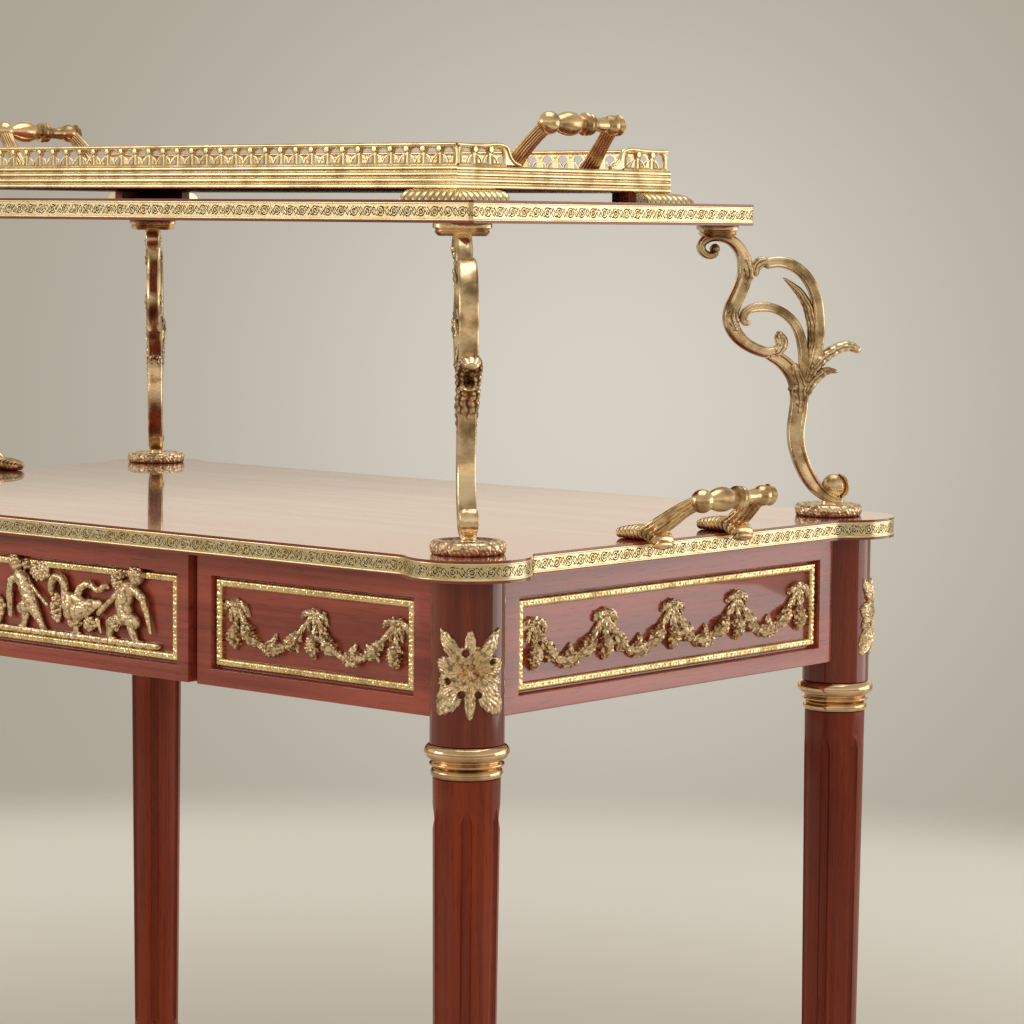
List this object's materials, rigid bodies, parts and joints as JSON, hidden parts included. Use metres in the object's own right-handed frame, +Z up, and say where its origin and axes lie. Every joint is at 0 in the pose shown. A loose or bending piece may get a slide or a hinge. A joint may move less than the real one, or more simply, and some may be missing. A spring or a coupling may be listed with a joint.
{
  "type": "tea trolley",
  "caption": "Two-tier tea trolley with brass mounts, fluted legs on swivel casters, a frieze drawer, scroll supports and a lift-off galleried tray.",
  "frame": {"origin": "on the floor, under the middle of the trolley", "axes": "+Z up, +X along the length, the drawer faces -Y"},
  "size_m": [0.9186, 0.528, 0.9376],
  "materials": {
    "mahogany": "french polished",
    "oak": "waxed",
    "pale_brass": "polished",
    "gilt_brass": "antique gilt",
    "caster_brass": "worn",
    "steel": "dull"
  },
  "bodies": {
    "stand": {"apron_back": "mahogany", "apron_front_left": "mahogany", "apron_front_right": "mahogany", "apron_left": "mahogany", "apron_right": "mahogany", "back_garlands": "gilt_brass", "back_plaque": "gilt_brass", "drawer_kickers": "oak", "drawer_rails": "oak", "drawer_runners": "oak", "front_garlands": "gilt_brass", "glue_blocks": "oak", "leaf_mounts": "gilt_brass", "leg_back_left": "mahogany", "leg_back_right": "mahogany", "leg_collars": "gilt_brass", "leg_front_left": "mahogany", "leg_front_right": "mahogany", "leg_sabots": "gilt_brass", "lower_handle_grips": "gilt_brass", "lower_handle_posts": "gilt_brass", "lower_handle_screws": "steel", "lower_top": "mahogany", "lower_top_band": "pale_brass", "panel_frames": "gilt_brass", "plate_screws": "steel", "side_garlands": "gilt_brass", "support_back_left": "gilt_brass", "support_back_right": "gilt_brass", "support_front_left": "gilt_brass", "support_front_right": "gilt_brass", "support_plates": "gilt_brass", "support_rosettes": "gilt_brass", "support_studs": "steel", "top_screws": "steel", "upper_top": "mahogany", "upper_top_band": "pale_brass"},
    "drawer": {"drawer_front": "mahogany", "drawer_frame": "gilt_brass", "drawer_plaque": "gilt_brass", "drawer_sides": "oak", "drawer_back": "oak", "drawer_bottom": "oak"},
    "tray": {"tray_bed": "mahogany", "tray_feet": "gilt_brass", "tray_gallery": "pale_brass", "tray_handle_grips": "gilt_brass", "tray_handle_posts": "gilt_brass", "tray_handle_screws": "steel", "tray_moulding": "pale_brass"},
    "caster_front_left": {"caster_fork_front_left": "caster_brass"},
    "wheel_front_left": {"caster_wheel_front_left": "caster_brass"},
    "caster_front_right": {"caster_fork_front_right": "caster_brass"},
    "wheel_front_right": {"caster_wheel_front_right": "caster_brass"},
    "caster_back_left": {"caster_fork_back_left": "caster_brass"},
    "wheel_back_left": {"caster_wheel_back_left": "caster_brass"},
    "caster_back_right": {"caster_fork_back_right": "caster_brass"},
    "wheel_back_right": {"caster_wheel_back_right": "caster_brass"}
  },
  "joints": [
    {"name": "drawer_slide", "type": "slide", "parent": "stand", "child": "drawer", "axis": [0, -1, 0], "range_m": [0, 0.25]},
    {"name": "tray_lift", "type": "slide", "parent": "stand", "child": "tray", "axis": [0, 0, 1], "range_m": [0, 0.12]},
    {"name": "swivel_front_left", "type": "hinge", "parent": "stand", "child": "caster_front_left", "pos_m": [-0.389, -0.22, 0.036], "axis": [0, 0, 1], "continuous": true},
    {"name": "roll_front_left", "type": "hinge", "parent": "caster_front_left", "child": "wheel_front_left", "pos_m": [-0.378, -0.22, 0.016], "axis": [0, 1, 0], "continuous": true},
    {"name": "swivel_front_right", "type": "hinge", "parent": "stand", "child": "caster_front_right", "pos_m": [0.389, -0.22, 0.036], "axis": [0, 0, 1], "continuous": true},
    {"name": "roll_front_right", "type": "hinge", "parent": "caster_front_right", "child": "wheel_front_right", "pos_m": [0.4, -0.22, 0.016], "axis": [0, 1, 0], "continuous": true},
    {"name": "swivel_back_left", "type": "hinge", "parent": "stand", "child": "caster_back_left", "pos_m": [-0.389, 0.22, 0.036], "axis": [0, 0, 1], "continuous": true},
    {"name": "roll_back_left", "type": "hinge", "parent": "caster_back_left", "child": "wheel_back_left", "pos_m": [-0.378, 0.22, 0.016], "axis": [0, 1, 0], "continuous": true},
    {"name": "swivel_back_right", "type": "hinge", "parent": "stand", "child": "caster_back_right", "pos_m": [0.389, 0.22, 0.036], "axis": [0, 0, 1], "continuous": true},
    {"name": "roll_back_right", "type": "hinge", "parent": "caster_back_right", "child": "wheel_back_right", "pos_m": [0.4, 0.22, 0.016], "axis": [0, 1, 0], "continuous": true}
  ]
}
